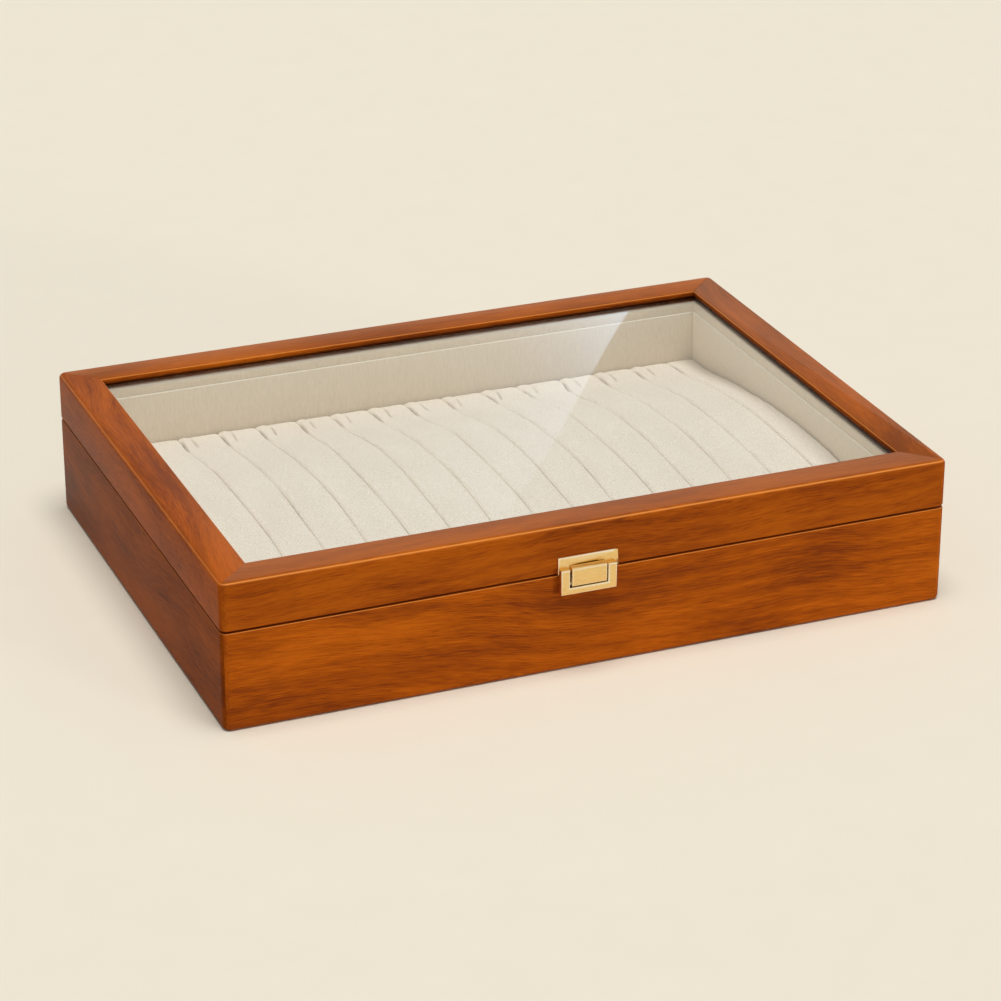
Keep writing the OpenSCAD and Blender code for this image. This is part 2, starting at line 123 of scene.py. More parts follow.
def lacquered_wood(name, turn, heart, tilt, slant, cut, stain, top_sheen_and_gloss):
    """Hardwood, stained orange-brown and sprayed with a satin lacquer: fine fibres, soft darker
    growth bands, a few short dark pores, and a low even gloss. Its rounded edges are a little
    glossier, and a painted highlight makes them lighter.
    turn lays the grain along the board. The growth rings run round a line through heart, a
    point in mm, at the angles of tilt. slant turns the darker stretches, and cut picks the
    piece of timber. stain is its darkest, its middle and its lightest colour, and the last
    argument is how much a painted sheen lightens its level faces, and how much glossier they are."""
    material, tree, output = new_material(name)
    place = add(tree, "TexCoord").outputs
    # Distances in mm from the heart of the timber
    point = add(tree, "Mapping", {0: place["Object"], 2: (0, 0, turn), 3: (1000, 1000, 1000)})
    point = add(tree, "VectorMath", {0: point.outputs[0], 1: heart}, operation="SUBTRACT").outputs[0]
    # The grain wanders some mm sideways over some 100 mm, but stays in each face of the board
    facing = add(tree, "Mapping", {0: place["Normal"], 2: (0, 0, turn)}).outputs[0]
    drift = add(tree, "Mapping", {0: point, 3: (0.007, 0.006, 0.006)}).outputs[0]
    drift = add(tree, "TexNoise", {"Vector": drift, "W": cut, "Scale": 1.0, "Detail": 1.5},
                noise_dimensions="4D").outputs["Color"]
    drift = add(tree, "VectorMath", {0: drift, 1: (0.5, 0.5, 0.5)}, operation="SUBTRACT").outputs[0]
    drift = add(tree, "VectorMath", {0: drift, 1: (0, 45, 45)}, operation="MULTIPLY").outputs[0]
    depth = add(tree, "VectorMath", {0: drift, 1: facing}, operation="PROJECT").outputs[0]
    drift = add(tree, "VectorMath", {0: drift, 1: depth}, operation="SUBTRACT").outputs[0]
    grain = add(tree, "VectorMath", {0: drift, 1: point}, operation="ADD").outputs[0]
    grain = add(tree, "Mapping", {0: grain, 2: tilt}).outputs[0]
    # Growth bands, about 8 mm apart
    bands = add(tree, "TexWave", {"Vector": grain, "Scale": 0.04, "Distortion": 3.0, "Detail": 2.0,
                                  "Detail Scale": 0.7}, wave_type="RINGS", rings_direction="X")
    # Soft darker stretches, about 25 mm wide and 90 mm long, that cross the fibres at a slant
    clouds = add(tree, "Mapping", {0: grain, 2: (0, slant, 0), 3: (0.011, 0.04, 0.04)}).outputs[0]
    clouds = add(tree, "TexNoise", {"Vector": clouds, "W": cut, "Scale": 1.0, "Detail": 2.0},
                 noise_dimensions="4D").outputs[0]
    # Streaks about 3 mm wide and 60 mm long, and fibres about 0.5 mm wide and 11 mm long
    streaks = add(tree, "Mapping", {0: grain, 3: (0.016, 0.35, 0.35)}).outputs[0]
    streaks = add(tree, "TexNoise", {"Vector": streaks, "W": cut, "Scale": 1.0, "Detail": 1.0},
                  noise_dimensions="4D").outputs[0]
    fibres = add(tree, "Mapping", {0: grain, 3: (0.09, 2.0, 2.0)}).outputs[0]
    fibres = add(tree, "TexNoise", {"Vector": fibres, "Scale": 1.0, "Detail": 3.0}).outputs[0]
    # Pores about 0.7 mm wide and 6 mm long
    pores = add(tree, "Mapping", {0: grain, 3: (0.16, 1.5, 1.5)}).outputs[0]
    pores = add(tree, "TexNoise", {"Vector": pores, "W": cut, "Scale": 1.0, "Detail": 1.0},
                noise_dimensions="4D").outputs[0]
    pores = add(tree, "ValToRGB", {0: pores}, [(0.26, "#C8B4AA"), (0.38, "#FFFFFF")]).outputs[0]
    # How strongly each of these darkens or lightens the stain
    tone = add(tree, "Math", {0: clouds, 1: 0.8, 2: -0.29}, operation="MULTIPLY_ADD").outputs[0]
    tone = add(tree, "Math", {0: bands.outputs["Fac"], 1: 0.06, 2: tone}, operation="MULTIPLY_ADD")
    tone = add(tree, "Math", {0: streaks, 1: 0.18, 2: tone.outputs[0]}, operation="MULTIPLY_ADD")
    tone = add(tree, "Math", {0: fibres, 1: 0.55, 2: tone.outputs[0]}, operation="MULTIPLY_ADD")
    colour = add(tree, "ValToRGB", {0: tone.outputs[0]}, zip((0.33, 0.5, 0.67), stain))
    colour = add(tree, "Mix", {0: 0.5, 6: colour.outputs[0], 7: pores},
                 data_type="RGBA", blend_type="MULTIPLY")
    # Painted sheen: the level faces are mixed towards a light orange, and their lacquer is glossier
    level = add(tree, "SeparateXYZ", {0: place["Normal"]}).outputs["Z"]
    level = add(tree, "Math", {0: level, 1: 0.0}, operation="MAXIMUM").outputs[0]
    level = add(tree, "Math", {0: level, 1: 6.0}, operation="POWER").outputs[0]
    sheen_and_gloss = add(tree, "Math", {0: level, 1: top_sheen_and_gloss}, operation="MULTIPLY").outputs[0]
    colour = add(tree, "Mix", {0: sheen_and_gloss, 6: colour.outputs[2], 7: to_linear("#D07A3A")},
                 data_type="RGBA")
    # Painted highlight: the rounded edges are mixed towards a light orange, and are also a little glossier
    highlit_edge = add(tree, "Attribute", attribute_name="rounded").outputs["Fac"]
    lighter = add(tree, "Math", {0: highlit_edge, 1: 0.75}, operation="MULTIPLY").outputs[0]
    colour = add(tree, "Mix", {0: lighter, 6: colour.outputs[2], 7: to_linear("#F29A48")},
                 data_type="RGBA")
    # Painted shade: the lip's inner face darkens to near black towards the glass below it
    lip_shade = add(tree, "Attribute", attribute_name="rebate").outputs["Fac"]
    lip_shade = add(tree, "Math", {0: lip_shade, 1: 1.8}, operation="POWER").outputs[0]
    colour = add(tree, "Mix", {0: lip_shade, 6: colour.outputs[2], 7: to_linear("#1E0A02")},
                 data_type="RGBA")
    gloss = add(tree, "Math", {0: sheen_and_gloss, 1: 0.8, 2: 0.02}, operation="MULTIPLY_ADD").outputs[0]
    gloss = add(tree, "Math", {0: highlit_edge, 1: 0.25, 2: gloss}, operation="MULTIPLY_ADD").outputs[0]
    bump = add(tree, "Bump", {"Height": fibres, "Distance": 0.02 * MM, "Strength": 0.4})
    shader = add(tree, "BsdfPrincipled", {"Base Color": colour.outputs[2], "Roughness": 0.34,
                                          "Specular IOR Level": gloss, "Normal": bump.outputs[0]})
    tree.links.new(shader.outputs[0], output.inputs[0])
    return material


def woven_cotton(name, dark, light):
    """Plain woven cotton, glued over board: fine upright threads that catch the light, with
    the weft showing between them. The real thread is about 0.4 mm; it is drawn a little coarser."""
    thread = 0.45 * MM
    material, tree, output = new_material(name)
    where = add(tree, "TexCoord").outputs
    place = where["Object"]
    warp = add(tree, "Mapping", {0: place, 3: (1 / thread, 1 / thread, 0.12 / thread)}).outputs[0]
    warp = add(tree, "TexNoise", {"Vector": warp, "Scale": 1.0, "Detail": 2.0}).outputs[0]
    weft = add(tree, "Mapping", {0: place, 3: (0.15 / thread, 0.15 / thread, 1 / thread)}).outputs[0]
    weft = add(tree, "TexNoise", {"Vector": weft, "Scale": 1.0, "Detail": 2.0}).outputs[0]
    weave = add(tree, "Math", {0: warp, 1: 0.65}, operation="MULTIPLY").outputs[0]
    weave = add(tree, "Math", {0: weft, 1: 0.35, 2: weave}, operation="MULTIPLY_ADD").outputs[0]
    colour = add(tree, "ValToRGB", {0: weave}, [(0.3, dark), (0.7, light)]).outputs[0]
    # Painted light: faces that look up are mixed towards a pale cream, most where they look straight up
    painted_top_light = add(tree, "SeparateXYZ", {0: where["Normal"]}).outputs["Z"]
    painted_top_light = add(tree, "Math", {0: painted_top_light, 1: 0.0}, operation="MAXIMUM").outputs[0]
    colour = add(tree, "Mix", {0: painted_top_light, 6: colour, 7: to_linear("#FFF8EA")}, data_type="RGBA")
    colour = colour.outputs[2]
    bump = add(tree, "Bump", {"Height": weave, "Distance": 0.15 * MM, "Strength": 0.3})
    shader = add(tree, "BsdfPrincipled", {
        "Base Color": colour, "Roughness": 0.85, "Specular IOR Level": 0.2, "Sheen Weight": 0.15,
        "Sheen Roughness": 0.5, "Normal": bump.outputs[0]})
    tree.links.new(shader.outputs[0], output.inputs[0])
    return material


def brushed_suede(name, dark, light):
    """Synthetic suede: a short brushed nap, nearly matt, that looks a little mottled where it
    has been stroked. The nap is finer than 0.1 mm; it is drawn at about 0.5 mm to show."""
    material, tree, output = new_material(name)
    place = add(tree, "TexCoord").outputs["Object"]
    nap = add(tree, "TexNoise", {"Vector": place, "Scale": 2000.0, "Detail": 3.0}).outputs[0]
    strokes = add(tree, "Mapping", {0: place, 3: (70, 26, 40)}).outputs[0]
    strokes = add(tree, "TexNoise", {"Vector": strokes, "Scale": 1.0, "Detail": 3.0}).outputs[0]
    mottle = add(tree, "Math", {0: nap, 1: 2.1, 2: -0.7}, operation="MULTIPLY_ADD").outputs[0]
    mottle = add(tree, "Math", {0: strokes, 1: 0.3, 2: mottle}, operation="MULTIPLY_ADD").outputs[0]
    colour = add(tree, "ValToRGB", {0: mottle}, [(0.3, dark), (0.7, light)]).outputs[0]
    # Painted shade in the creases of the gathers, and on the last roll's side towards the side board
    painted_shade = add(tree, "Attribute", attribute_name="painted_shade").outputs["Fac"]
    colour = add(tree, "Mix", {0: painted_shade, 6: colour, 7: to_linear("#85735A")}, data_type="RGBA")
    bump = add(tree, "Bump", {"Height": nap, "Distance": 0.08 * MM, "Strength": 0.4})
    shader = add(tree, "BsdfPrincipled", {
        "Base Color": colour.outputs[2], "Roughness": 0.9, "Specular IOR Level": 0.15, "Sheen Weight": 0.2,
        "Sheen Roughness": 0.4, "Normal": bump.outputs[0]})
    tree.links.new(shader.outputs[0], output.inputs[0])
    return material


def float_glass(name):
    """Clear float glass, 3 mm thick, polished by the melt: it only shows by what its two faces
    mirror, more at a low angle. Light goes straight through it. The upper face is drawn with
    more than the mirroring of one face, so that it stands for both."""
    material, tree, output = new_material(name)
    facing = add(tree, "LayerWeight", {"Blend": 0.5}).outputs["Facing"]
    mirror = add(tree, "Math", {0: facing, 1: 5.0}, operation="POWER").outputs[0]
    mirror = add(tree, "Math", {0: mirror, 1: 1.34, 2: 0.056}, operation="MULTIPLY_ADD").outputs[0]
    inside = add(tree, "NewGeometry").outputs["Backfacing"]
    outside = add(tree, "Math", {0: 1.0, 1: inside}, operation="SUBTRACT").outputs[0]
    mirror = add(tree, "Math", {0: mirror, 1: outside}, operation="MULTIPLY").outputs[0]
    clear = add(tree, "BsdfTransparent", {"Color": (0.985, 0.99, 0.985, 1)}).outputs[0]
    gloss = add(tree, "BsdfGlossy", {"Color": (1, 1, 1, 1), "Roughness": 0.02}).outputs[0]
    shader = add(tree, "MixShader", {0: mirror, 1: clear, 2: gloss})
    tree.links.new(shader.outputs[0], output.inputs[0])
    return material


def satin_metal(name, colour, worn, roughness):
    """Metal with a fine satin finish, brushed and then lacquered: hairlines too fine to see
    singly, drawn 0.25 mm wide, spread its highlights a little. Its rounded edges get a
    painted highlight, near white."""
    material, tree, output = new_material(name)
    place = add(tree, "TexCoord").outputs["Object"]
    lines = add(tree, "Mapping", {0: place, 3: (300, 900, 4000)}).outputs[0]
    lines = add(tree, "TexNoise", {"Vector": lines, "Scale": 1.0, "Detail": 3.0}).outputs[0]
    tint = add(tree, "ValToRGB", {0: lines}, [(0.3, worn), (0.65, colour)]).outputs[0]
    # Painted highlight: the rounded edges are mixed towards near white
    highlit_edge = add(tree, "Attribute", attribute_name="rounded").outputs["Fac"]
    tint = add(tree, "Mix", {0: highlit_edge, 6: tint, 7: to_linear("#FFFFF4")}, data_type="RGBA").outputs[2]
    gloss = add(tree, "Math", {0: lines, 1: 0.12, 2: roughness - 0.06}, operation="MULTIPLY_ADD")
    bump = add(tree, "Bump", {"Height": lines, "Distance": 0.01 * MM, "Strength": 0.3})
    shader = add(tree, "BsdfPrincipled", {"Base Color": tint, "Metallic": 1.0,
                                          "Roughness": gloss.outputs[0], "Normal": bump.outputs[0]})
    tree.links.new(shader.outputs[0], output.inputs[0])
    return material


def birch_plywood(name):
    """Birch plywood, sanded and left bare: pale, with faint long grain and thin darker lines"""
    material, tree, output = new_material(name)
    place = add(tree, "TexCoord").outputs["Object"]
    grain = add(tree, "Mapping", {0: place, 3: (25, 500, 700)}).outputs[0]
    grain = add(tree, "TexNoise", {"Vector": grain, "Scale": 1.0, "Detail": 4.0}).outputs[0]
    colour = add(tree, "ValToRGB", {0: grain}, [(0.3, "#A98555"), (0.7, "#CBAA78")]).outputs[0]
    shader = add(tree, "BsdfPrincipled", {"Base Color": colour, "Roughness": 0.7})
    tree.links.new(shader.outputs[0], output.inputs[0])
    return material


def pressed_felt(name):
    """Pressed wool felt, dark brown: matted fibres about 0.3 mm across, with no shine"""
    material, tree, output = new_material(name)
    place = add(tree, "TexCoord").outputs["Object"]
    fuzz = add(tree, "TexNoise", {"Vector": place, "Scale": 3000.0, "Detail": 4.0}).outputs[0]
    colour = add(tree, "ValToRGB", {0: fuzz}, [(0.3, "#3C322B"), (0.7, "#5A4D43")]).outputs[0]
    bump = add(tree, "Bump", {"Height": fuzz, "Distance": 0.2 * MM, "Strength": 0.6})
    shader = add(tree, "BsdfPrincipled", {"Base Color": colour, "Roughness": 0.95,
                                          "Specular IOR Level": 0.1, "Normal": bump.outputs[0]})
    tree.links.new(shader.outputs[0], output.inputs[0])
    return material


QUARTER = math.pi / 2
# The lid's right rail and front rail took a little more stain than the front. The base's side
# boards are stained darker still, as painted shade on the side faces of the case
FRONT_STAIN = ("#78350E", "#9C4A0C", "#B65B10")
RAIL_STAIN = ("#6A2D0E", "#90430C", "#A8540F")
SIDE_STAIN = ("#6C2E0A", "#904206", "#AA510A")
SHADED_SIDE_STAIN = ("#652A09", "#863D05", "#9E4B09")
LEFT_STAIN = ("#742F0C", "#9A4709", "#B4560D")
WOOD = {}
for board, turn, heart, tilt, slant, cut, stain, top_sheen_and_gloss in (
        ("base_front", 0, (70, -128, 22), (0, -0.06, 0.02), 0.35, 1.0, FRONT_STAIN, 0.14),
        ("base_back", 0, (-40, 128, 26), (0, 0.04, 0.02), 0.2, 2.3, FRONT_STAIN, 0.14),
        ("base_left", QUARTER, (30, 175, 20), (0, 0.05, 0.02), 0.1, 3.1, SHADED_SIDE_STAIN, 0.1),
        ("base_right", QUARTER, (-30, -175, 20), (0, 0.05, 0.02), 0.1, 4.7, SHADED_SIDE_STAIN, 0.1),
        ("lid_front", 0, (20, -120, 90), (0, 0.02, 0.03), 0.1, 5.2, RAIL_STAIN, 0.16),
        ("lid_back", 0, (0, 120, 95), (0, 0.02, 0.03), 0.1, 6.9, RAIL_STAIN, 0.18),
        ("lid_left", QUARTER, (0, 165, 90), (0, 0.02, 0.06), 0.1, 7.4, LEFT_STAIN, 0.03),
        ("lid_right", QUARTER, (0, -165, 90), (0, 0.02, 0.06), 0.1, 8.8, SIDE_STAIN, 0.14)):
    WOOD[board] = lacquered_wood(f"lacquered_wood_{board}", turn, heart, tilt, slant, cut,
                                 stain, top_sheen_and_gloss)
COTTON = woven_cotton("woven_cotton_taupe", "#DACAB1", "#EADCC8")
# The cloth on the side boards is a lighter copy of the same cloth: painted light on the faces that look
# left and right
LIT_SIDE_COTTON = woven_cotton("woven_cotton_taupe_sides_lit", "#E9D8C0", "#F7EAD7")
SUEDE = brushed_suede("brushed_suede_cream", "#DED2C2", "#F5ECE0")
GLASS = float_glass("float_glass_clear")
BRASS = satin_metal("satin_brass", "#F8D490", "#ECC274", 0.3)
STEEL = satin_metal("bronzed_steel", "#6A5638", "#4A3A26", 0.4)
PLYWOOD = birch_plywood("birch_plywood_sanded")
FELT = pressed_felt("pressed_wool_felt")


# ---------------------------------------------------------------- modelling tools
def make_active(piece):
    """Leaves a piece as the only one selected, for the operators that follow"""
    bpy.ops.object.select_all(action="DESELECT")
    piece.select_set(True)
    bpy.context.view_layer.objects.active = piece


def new_block(name, low, high):
    """A box from its lowest to its highest corner"""
    bpy.ops.object.select_all(action="DESELECT")
    low, high = Vector(low), Vector(high)
    bpy.ops.mesh.primitive_cube_add(size=1, location=(low + high) / 2)
    block = bpy.context.object
    block.name = name
    block.scale = high - low
    bpy.ops.object.transform_apply(location=True, rotation=True, scale=True)
    return block


def copy_of(piece, name):
    """Another piece with its own mesh"""
    twin = piece.copy()
    twin.data = piece.data.copy()
    twin.name = name
    bpy.context.scene.collection.objects.link(twin)
    return twin


def round_picked(piece, picked, radius, segments):
    """Rounds the edges for which picked says yes, when it is given their two ends"""
    make_active(piece)
    bpy.ops.object.mode_set(mode="EDIT")
    bpy.ops.mesh.select_mode(type="EDGE")
    bpy.ops.mesh.select_all(action="DESELECT")
    mesh = bmesh.from_edit_mesh(piece.data)
    for edge in mesh.edges:
        edge.select_set(picked(edge.verts[0].co, edge.verts[1].co))
    mesh.select_flush_mode()
    bmesh.update_edit_mesh(piece.data)
    bpy.ops.mesh.bevel(offset=radius, segments=segments, affect="EDGES")
    bpy.ops.object.mode_set(mode="OBJECT")


def round_edges(piece, test, radius, segments):
    """Rounds the edges whose two ends pass the test"""
    round_picked(piece, lambda a, b: test(a) and test(b), radius, segments)


def finish_modifier(piece, kind, **settings):
    """Adds a modifier with its settings and applies it"""
    make_active(piece)
    modifier = piece.modifiers.new(kind.lower(), kind)
    for key, value in settings.items():
        setattr(modifier, key, value)
    bpy.ops.object.modifier_apply(modifier=modifier.name)


def cut_box(piece, low, high):
    """Cuts a box-shaped hollow into a piece"""
    cutter = new_block("cutter", low, high)
    finish_modifier(piece, "BOOLEAN", operation="DIFFERENCE", solver="EXACT", object=cutter)
    bpy.data.objects.remove(cutter)


def soften(piece, width, segments=2, sharp=40):
    """Takes the sharpness off every crisp edge, and shades the rest smooth"""
    finish_modifier(piece, "BEVEL", width=width, segments=segments, limit_method="ANGLE",
                    angle_limit=math.radians(sharp), use_clamp_overlap=True)
    make_active(piece)
    bpy.ops.object.shade_smooth_by_angle(angle=math.radians(35))


def mark_rounds(piece, upright=0, sideways=0.4, narrow=24, sharp=50):
    """Notes how far each point sits on a rounded upper edge, from 0 on the flats to 1 half-way
    round, where the painted highlight along the edge is brightest. upright is the share of that
    which upright edges get, and sideways the share of the edges that look left or right. A higher
    narrow keeps the mark closer to the middle of the rounding. Points on an edge sharper than sharp
    degrees get none."""
    mesh = bmesh.new()
    mesh.from_mesh(piece.data)
    rounded = mesh.verts.layers.float.new("rounded")
    for point in mesh.verts:
        x, y = point.normal.xy
        rises = [math.asin(max(-1, min(1, face.normal.z))) for face in point.link_faces]
        turned = max(math.sin(min(rises) + max(rises)), upright * 2 * abs(x * y))
        share = (y * y + sideways * x * x) / (x * x + y * y + NEAR)
        bend = max(edge.calc_face_angle_signed(0) for edge in point.link_edges)
        crisp = bend > math.radians(sharp)
        point[rounded] = 0 if crisp else share * min(1, max(0, turned)) ** narrow
    mesh.to_mesh(piece.data)
    mesh.free()


def mark_rebate(piece):
    """Notes the lower edge of the lip that holds the glass, where the painted shade is darkest"""
    mesh = bmesh.new()
    mesh.from_mesh(piece.data)
    layer = mesh.verts.layers.float.new("rebate")
    for point in mesh.verts:
        point[layer] = 1 if abs(point.co.z - GLASS_TOP) < NEAR else 0
    mesh.to_mesh(piece.data)
    mesh.free()


def dress(piece, material, slot_name, body, *nodes):
    """Gives a finished piece its material and its body, and hides the CAD parts that it stands for"""
    piece.data.materials.clear()
    piece.data.materials.append(material)
    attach(piece, body)
    if nodes:
        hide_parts(*nodes)


def mitred_side(ring, side, name):
    """One side of a ring, cut at 45 degrees through the two upright corners of the case"""
    piece = copy_of(ring, name)
    make_active(piece)
    bpy.ops.object.mode_set(mode="EDIT")
    out = SIDES[side]
    along = Vector((-out.y, out.x, 0))
    for end in (-1, 1):
        corner = Vector((math.copysign(HALF_W, (out + along * end).x),
                         math.copysign(HALF_D, (out + along * end).y), 0))
        bpy.ops.mesh.select_all(action="SELECT")
        bpy.ops.mesh.bisect(plane_co=corner, plane_no=(along * end - out).normalized(),
                            use_fill=True, clear_outer=True)
    bpy.ops.object.mode_set(mode="OBJECT")
    return piece


def inwards(distance, low, high):
    """The lowest and highest corner of a box that far inside the outline of the case"""
    half = Vector((HALF_W - distance, HALF_D - distance))
    return (-half.x, -half.y, low), (half.x, half.y, high)


# ---------------------------------------------------------------- wooden case
# Rounding of the upright corners, of the top and bottom edges, of the edges where lid and base
# meet, of the lip over the glass, and of the mitres
CORNER_R = 3.5 * MM
EDGE_R = 2.4 * MM
SEAM_R = 0.75 * MM
WINDOW_R = 1.2 * MM
MITRE_R = 0.2 * MM
# The beds of the hinges are as deep as their leaves, with a little play around them
LEAF_T = 1.2 * MM
LEAF_PLAY = 0.1 * MM
# Cutters reach this far past the wood
BEYOND = 5 * MM
# The lid's lower outer edge is planed back, so that a dark line parts the lid from the base
SHADOW_GAP = 0.6 * MM
SHADOW_DEPTH = 2.5 * MM


def case_block(name, low, high, low_r, high_r):
    """A block of the case's outline, with round upright corners and round level edges"""
    block = new_block(name, *inwards(0, low, high))
    round_picked(block, lambda a, b: abs(a.z - b.z) > NEAR, CORNER_R, 8)
    for level, radius in ((high, high_r), (low, low_r)):
        # A rounding under 1 mm is smooth enough with half the faces
        round_edges(block, lambda v: abs(v.z - level) < NEAR, radius, 4 if radius < MM else 8)
    return block


def hinge_mortises(ring, low, high):
    """Cuts the beds of the two hinges, open to the back, where their knuckles are"""
    for side in ("left", "right"):
        leaf_low, leaf_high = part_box(f"hinge_{side}_base_leaf")
        cut_box(ring, (leaf_low.x - LEAF_PLAY, leaf_low.y - LEAF_PLAY, low),
                (leaf_high.x + LEAF_PLAY, HALF_D + BEYOND, high))


base_ring = case_block("base_ring", 0, BASE_TOP, EDGE_R, SEAM_R)
cut_box(base_ring, *inwards(WALL, -BEYOND, BASE_TOP + BEYOND))
cut_box(base_ring, *inwards(PANEL_EDGE, -BEYOND, PANEL_TOP))
hinge_mortises(base_ring, BASE_TOP - LEAF_T, BASE_TOP + BEYOND)
mark_rounds(base_ring)

lid_ring = case_block("lid_ring", LID_LOW + SHADOW_GAP, LID_TOP, SEAM_R, EDGE_R)
landing = new_block("landing", *inwards(SHADOW_DEPTH, LID_LOW, LID_LOW + BEYOND))
finish_modifier(lid_ring, "BOOLEAN", operation="UNION", solver="EXACT", object=landing)
bpy.data.objects.remove(landing)
cut_box(lid_ring, *inwards(RAIL_FACE, LID_LOW - BEYOND, LID_TOP + BEYOND))
round_edges(lid_ring, lambda v: v.z > LID_TOP - NEAR and abs(v.x) < HALF_W - RAIL_FACE + NEAR
            and abs(v.y) < HALF_D - RAIL_FACE + NEAR, WINDOW_R, 4)
cut_box(lid_ring, *inwards(LID_WALL, LID_LOW - BEYOND, GLASS_TOP))
hinge_mortises(lid_ring, LID_LOW - BEYOND, LID_LOW + LEAF_T)
mark_rounds(lid_ring)
mark_rebate(lid_ring)

for side in SIDES:
    wall = mitred_side(base_ring, side, f"wood_base_{side}")
    soften(wall, MITRE_R)
    dress(wall, WOOD[f"base_{side}"], "lacquered_wood", "base", f"base_{side}_wall")
    rail = mitred_side(lid_ring, side, f"wood_lid_{side}")
    soften(rail, MITRE_R)
    dress(rail, WOOD[f"lid_{side}"], "lacquered_wood", "lid", f"lid_{side}_rail")
bpy.data.objects.remove(base_ring)
bpy.data.objects.remove(lid_ring)

# ---------------------------------------------------------------- cloth-covered boards
# Rounding of the boards' and the strips' edges
CLOTH_R = 0.3 * MM
STRIP_EDGE_R = 0.1 * MM
# The line between the boards and the lid's strips lies a little below the boards' upper ends
CLOTH_LOW = 1.1 * MM
CLOTH_GAP = 0.1 * MM
# The lid's strips stand a little behind the boards below them, and are rounded under the glass
STRIP_BACK = 0.8 * MM
STRIP_R = 1.8 * MM


def covered_ring(name, node, inner, low_z, high_z):
    """A ring of cloth-covered board from a node's outer face to a distance from the outline"""
    outer = HALF_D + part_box(node)[0].y
    ring = new_block(name, *inwards(outer, low_z, high_z))
    cut_box(ring, *inwards(inner, low_z - BEYOND, high_z + BEYOND))
    return ring


liner_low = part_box("liner_front")[0].z
liner_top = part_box("liner_front")[1].z - CLOTH_LOW
strip_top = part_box("lid_strip_front")[1].z
liner_ring = covered_ring("liner_ring", "liner_front", LINER_IN, liner_low, liner_top)
strip_ring = covered_ring("strip_ring", "lid_strip_front", RAIL_FACE - STRIP_BACK,
                          liner_top + CLOTH_GAP, strip_top)
strip_in = RAIL_FACE - STRIP_BACK - NEAR
round_edges(strip_ring, lambda v: v.z > strip_top - NEAR and abs(v.x) < HALF_W - strip_in
            and abs(v.y) < HALF_D - strip_in, STRIP_R, 4)
for side in SIDES:
    cloth = COTTON if side in ("front", "back") else LIT_SIDE_COTTON
    liner = mitred_side(liner_ring, side, f"cloth_liner_{side}")
    soften(liner, CLOTH_R, 3)
    dress(liner, cloth, "liner_fabric", "base", f"liner_{side}")
    strip = mitred_side(strip_ring, side, f"cloth_strip_{side}")
    soften(strip, STRIP_EDGE_R, 3)
    dress(strip, cloth, "liner_fabric", "lid", f"lid_strip_{side}")
bpy.data.objects.remove(liner_ring)
bpy.data.objects.remove(strip_ring)

# ---------------------------------------------------------------- padded ring rolls
ROLLS = 16
ROLL_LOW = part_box("ring_roll_02")[0].z
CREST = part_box("ring_roll_02")[1].z
ROLL_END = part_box("ring_roll_02")[1].y
# The rolls' tops are an arc from front to back
CROWN_R = 450 * MM
# Each seam lies this far below the crest, in a gap between two rounded shoulders
SEAM_SINK = 0.9 * MM
SEAM_GAP = 0.16 * MM
SHOULDER = 0.9 * MM
END_ROUND = 1.8 * MM
# The padding holds a cover over this share of its height, takes this many frames to settle,
# and raises it by no more than this
HELD_SHARE = 0.55
PADDING_FRAMES = 20
SWELL_CAP = 0.5 * MM


def seam(i):
    """X of the seam between roll i and roll i + 1. 0 and ROLLS give the two ends of the row."""
    if i == 0:
        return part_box("ring_roll_01")[0].x
    if i == ROLLS:
        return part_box("ring_roll_16")[1].x
    return (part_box(f"ring_roll_{i:02d}")[1].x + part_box(f"ring_roll_{i + 1:02d}")[0].x) / 2


def crown(y):
    """Height of the rolls' crest line at y"""
    return CREST - CROWN_R + np.sqrt(CROWN_R ** 2 - y ** 2)


def stations(low, high, fine, step, dense=0, dense_step=1):
    """Positions from low to high: at the distances fine from both ends, step apart between
    them, and dense_step apart over the last dense of the way"""
    start = [low + d for d in fine]
    end = [high - d for d in reversed(fine)]
    turn = high - dense if dense else end[0]
    middle = np.linspace(start[-1], turn, max(2, round((turn - start[-1]) / step)))[1:-1]
    close = np.linspace(turn, end[0], round((end[0] - turn) / dense_step))[:-1]
    return np.array([*start, *middle, *close, *end])


def gridded_bar(name, xs, ys, zs):
    """A closed bar with a grid of faces on all its six sides"""
    numbers, points, faces = {}, [], []

    def corner(i, j, k):
        if (i, j, k) not in numbers:
            numbers[i, j, k] = len(points)
            points.append((xs[i], ys[j], zs[k]))
        return numbers[i, j, k]

    last = (len(xs) - 1, len(ys) - 1, len(zs) - 1)
    for axis in range(3):
        a, b = [other for other in range(3) if other != axis]
        if axis == 1:
            a, b = b, a
        for end in (0, last[axis]):
            for i in range(last[a]):
                for j in range(last[b]):
                    quad = []
                    for di, dj in ((0, 0), (1, 0), (1, 1), (0, 1)):
                        index = [0, 0, 0]
                        index[axis], index[a], index[b] = end, i + di, j + dj
                        quad.append(corner(*index))
                    faces.append(quad if end else quad[::-1])
    mesh = bpy.data.meshes.new(name)
    mesh.from_pydata(points, [], faces)
    mesh.update()
    piece = bpy.data.objects.new(name, mesh)
    bpy.context.scene.collection.objects.link(piece)
    return piece


def get_points(piece):
    """The points of a piece's mesh, one in each row"""
    points = np.zeros(len(piece.data.vertices) * 3)
    piece.data.vertices.foreach_get("co", points)
    return points.reshape(-1, 3)


def set_points(piece, points):
    """Moves the points of a piece's mesh"""
    piece.data.vertices.foreach_set("co", np.asarray(points, np.float32).ravel())
    piece.data.update()


